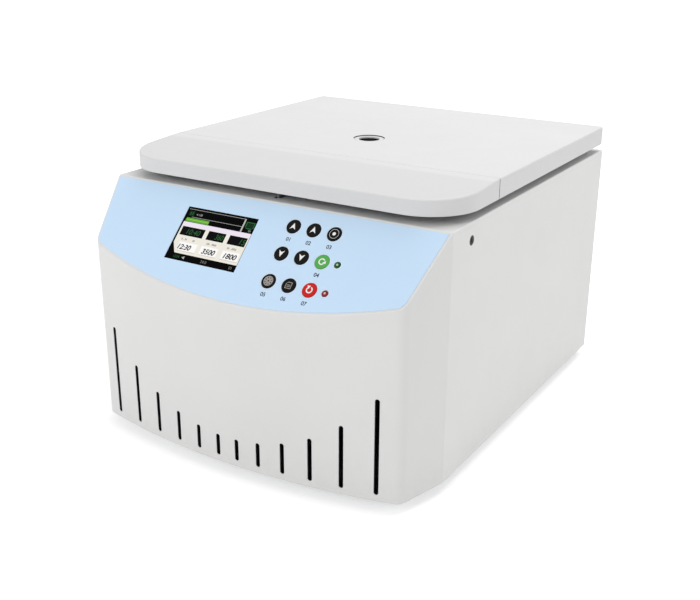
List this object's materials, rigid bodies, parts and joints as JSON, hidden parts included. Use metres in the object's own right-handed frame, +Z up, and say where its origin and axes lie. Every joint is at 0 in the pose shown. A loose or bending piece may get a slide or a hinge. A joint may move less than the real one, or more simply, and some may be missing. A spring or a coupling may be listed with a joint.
{
  "type": "cytocentrifuge",
  "caption": "Bench cytocentrifuge: white case with a sloped keypad and screen, curved slotted front, hinged flat lid with a sight port, and a rotor with slide clips and funnels.",
  "frame": {"origin": "on the bench, under the middle of the whole width and the whole depth", "axes": "+X to the right as seen from the front, +Y towards the back, +Z up"},
  "size_m": [0.42, 0.52, 0.31],
  "materials": {
    "case_white": "satin",
    "overlay_blue": "smooth",
    "window_black": "gloss",
    "module_grey": "matte",
    "board_green": "satin",
    "green_lens": "gloss",
    "red_lens": "gloss",
    "stainless": "brushed",
    "gasket_rubber": "matte",
    "motor_alloy": "cast",
    "plate_steel": "zinc plated",
    "damper_rubber": "matte",
    "foot_rubber": "matte",
    "black_plastic": "matte",
    "key_black": "satin",
    "key_green": "satin",
    "key_red": "satin",
    "fuse_grey": "matte",
    "guard_steel": "bright",
    "supply_steel": "zinc plated",
    "solenoid_steel": "satin",
    "bolt_steel": "ground",
    "hinge_steel": "satin",
    "screw_steel": "bright",
    "lid_white": "satin",
    "liner_grey": "matte",
    "bezel_white": "gloss",
    "port_glass": "clear",
    "rotor_alloy": "anodised",
    "knob_black": "satin",
    "clip_steel": "spring",
    "funnel_white": "satin",
    "cap_white": "satin",
    "card_paper": "matte",
    "slide_glass": "clear"
  },
  "bodies": {
    "case": {"main_case": "case_white", "base_pan": "plate_steel", "rear_panel": "case_white", "control_overlay": "overlay_blue", "display_window": "window_black", "display_module": "module_grey", "control_board": "board_green", "run_indicator": "green_lens", "stop_indicator": "red_lens", "chamber_bowl": "stainless", "chamber_gasket": "gasket_rubber", "drive_motor": "motor_alloy", "motor_plate": "plate_steel", "motor_dampers": "damper_rubber", "rubber_feet": "foot_rubber", "power_inlet": "black_plastic", "switch_body": "black_plastic", "fan_frame": "black_plastic", "fan_guard": "guard_steel", "power_supply": "supply_steel", "drive_board": "board_green", "lock_solenoid": "solenoid_steel", "lock_brackets": "plate_steel", "hinge_brackets": "hinge_steel", "hinge_pins": "bolt_steel", "case_screws": "screw_steel"},
    "lid": {"lid_shell": "lid_white", "lid_front_cap": "lid_white", "lid_liner": "liner_grey", "chamber_plate": "stainless", "lid_port_bezel": "bezel_white", "lid_window": "port_glass", "lid_striker": "bolt_steel", "hinge_leaves": "hinge_steel"},
    "rotor": {"rotor_spindle": "bolt_steel", "rotor_head": "rotor_alloy", "clip_cradles": "rotor_alloy", "slide_clips": "clip_steel", "sample_funnels": "funnel_white", "funnel_caps": "cap_white", "filter_cards": "card_paper", "glass_slides": "slide_glass"},
    "knob": {"rotor_nut": "knob_black"},
    "bolt": {"lock_bolt": "bolt_steel", "release_rod": "bolt_steel"},
    "plug": {"release_hole_plug": "black_plastic"},
    "fuse": {"fuse_drawer": "fuse_grey"},
    "rocker": {"power_rocker": "key_black"},
    "fan": {"fan_impeller": "fuse_grey"},
    "speed_up_cap": {"speed_up_key": "key_black"},
    "time_up_cap": {"time_up_key": "key_black"},
    "jog_cap": {"jog_key": "key_black"},
    "speed_down_cap": {"speed_down_key": "key_black"},
    "time_down_cap": {"time_down_key": "key_black"},
    "start_cap": {"start_key": "key_green"},
    "rotor_cap": {"rotor_key": "key_black"},
    "program_cap": {"program_key": "key_black"},
    "stop_cap": {"stop_key": "key_red"}
  },
  "joints": [
    {"name": "lid_hinge", "type": "hinge", "parent": "case", "child": "lid", "pos_m": [0, 0.24, 0.2887], "axis": [-1, 0, 0], "range_deg": [0, 75]},
    {"name": "rotor_spin", "type": "hinge", "parent": "case", "child": "rotor", "pos_m": [0, 0.026, 0.181], "axis": [0, 0, 1], "continuous": true},
    {"name": "rotor_knob_turn", "type": "hinge", "parent": "rotor", "child": "knob", "pos_m": [0, 0.026, 0.207], "axis": [0, 0, 1], "continuous": true},
    {"name": "lock_bolt_slide", "type": "slide", "parent": "case", "child": "bolt", "axis": [1, 0, 0], "range_m": [0, 0.009]},
    {"name": "release_plug_slide", "type": "slide", "parent": "case", "child": "plug", "axis": [1, 0, 0], "range_m": [0, 0.015]},
    {"name": "fuse_drawer_slide", "type": "slide", "parent": "case", "child": "fuse", "axis": [0, 1, 0], "range_m": [0, 0.025]},
    {"name": "power_rocker_tilt", "type": "hinge", "parent": "case", "child": "rocker", "pos_m": [-0.132, 0.25303, 0.124], "axis": [-1, 0, 0], "range_deg": [0, 16]},
    {"name": "fan_spin", "type": "hinge", "parent": "case", "child": "fan", "pos_m": [0.118, 0.2395, 0.15], "axis": [0, 1, 0], "continuous": true},
    {"name": "speed_up_press", "type": "slide", "parent": "case", "child": "speed_up_cap", "axis": [0, 0.7071, -0.7071], "range_m": [0, 0.0006], "stiffness_N_per_m": 800},
    {"name": "time_up_press", "type": "slide", "parent": "case", "child": "time_up_cap", "axis": [0, 0.7071, -0.7071], "range_m": [0, 0.0006], "stiffness_N_per_m": 800},
    {"name": "jog_press", "type": "slide", "parent": "case", "child": "jog_cap", "axis": [0, 0.7071, -0.7071], "range_m": [0, 0.0006], "stiffness_N_per_m": 800},
    {"name": "speed_down_press", "type": "slide", "parent": "case", "child": "speed_down_cap", "axis": [0, 0.7071, -0.7071], "range_m": [0, 0.0006], "stiffness_N_per_m": 800},
    {"name": "time_down_press", "type": "slide", "parent": "case", "child": "time_down_cap", "axis": [0, 0.7071, -0.7071], "range_m": [0, 0.0006], "stiffness_N_per_m": 800},
    {"name": "start_press", "type": "slide", "parent": "case", "child": "start_cap", "axis": [0, 0.7071, -0.7071], "range_m": [0, 0.0006], "stiffness_N_per_m": 800},
    {"name": "rotor_press", "type": "slide", "parent": "case", "child": "rotor_cap", "axis": [0, 0.7071, -0.7071], "range_m": [0, 0.0006], "stiffness_N_per_m": 800},
    {"name": "program_press", "type": "slide", "parent": "case", "child": "program_cap", "axis": [0, 0.7071, -0.7071], "range_m": [0, 0.0006], "stiffness_N_per_m": 800},
    {"name": "stop_press", "type": "slide", "parent": "case", "child": "stop_cap", "axis": [0, 0.7071, -0.7071], "range_m": [0, 0.0006], "stiffness_N_per_m": 800}
  ]
}
